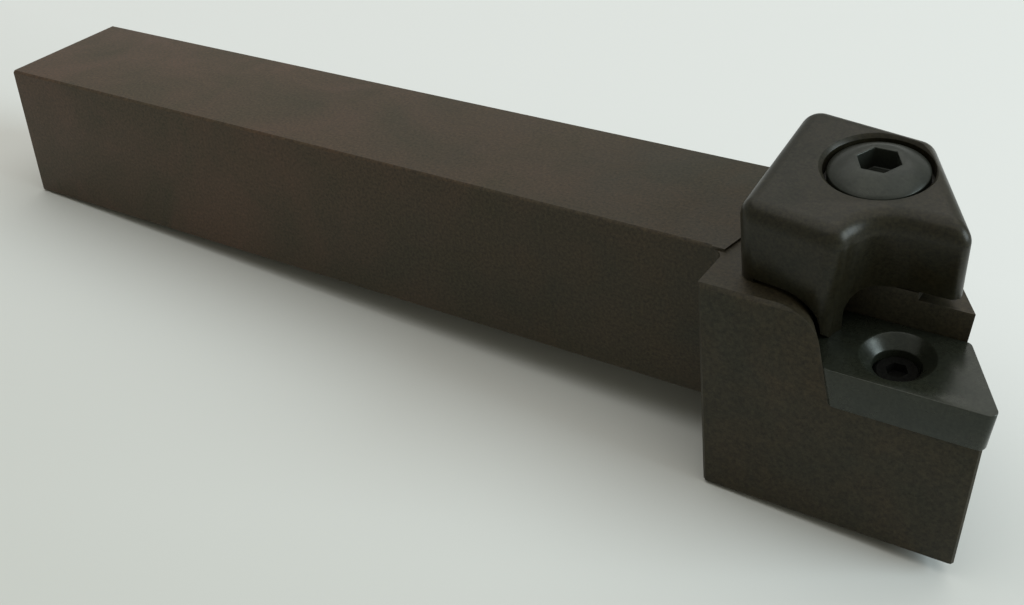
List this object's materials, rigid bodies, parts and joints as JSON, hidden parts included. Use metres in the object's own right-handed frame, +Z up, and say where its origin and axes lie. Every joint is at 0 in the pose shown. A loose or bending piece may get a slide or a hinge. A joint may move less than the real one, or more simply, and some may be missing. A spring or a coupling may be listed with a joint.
{
  "type": "turning tool holder",
  "caption": "Right-hand turning tool holder with a square shank, an offset drop head, a parallelogram seat plate and a top clamp; the cutting insert itself is missing.",
  "frame": {"origin": "middle of the shank's base face, the face that a tool post clamps", "axes": "+X along the shank towards the head, -Y towards the cutting side, +Z up, away from the base"},
  "size_m": [0.145, 0.0279, 0.0378],
  "materials": {
    "oxide_steel": "blackened steel, satin, blotchy brown",
    "clamp_steel": "blackened cast steel, satin",
    "screw_steel": "satin grey steel",
    "carbide": "ground cemented carbide, dark grey",
    "spring_steel": "plain drawn steel"
  },
  "bodies": {
    "holder": {"holder_body": "oxide_steel", "insert_seat": "carbide", "seat_screw": "screw_steel", "guide_pin": "spring_steel", "clamp_spring": "spring_steel"},
    "clamp_arm": {"clamp": "clamp_steel"},
    "screw": {"clamp_screw": "screw_steel"}
  },
  "joints": [
    {"name": "clamp_lift", "type": "slide", "parent": "holder", "child": "clamp_arm", "axis": [0, -0.1392, 0.9903], "range_m": [0, 0.0024], "deforming": ["clamp_spring"]},
    {"name": "screw_turn", "type": "hinge", "parent": "clamp_arm", "child": "screw", "pos_m": [0.0709, -0.0043, 0.0305], "axis": [0, -0.1392, 0.9903], "range_deg": [0, 870]}
  ],
  "couplings": [
    {"joint": "screw_turn", "follows": "clamp_lift", "rad_per_m": 6283.2}
  ]
}
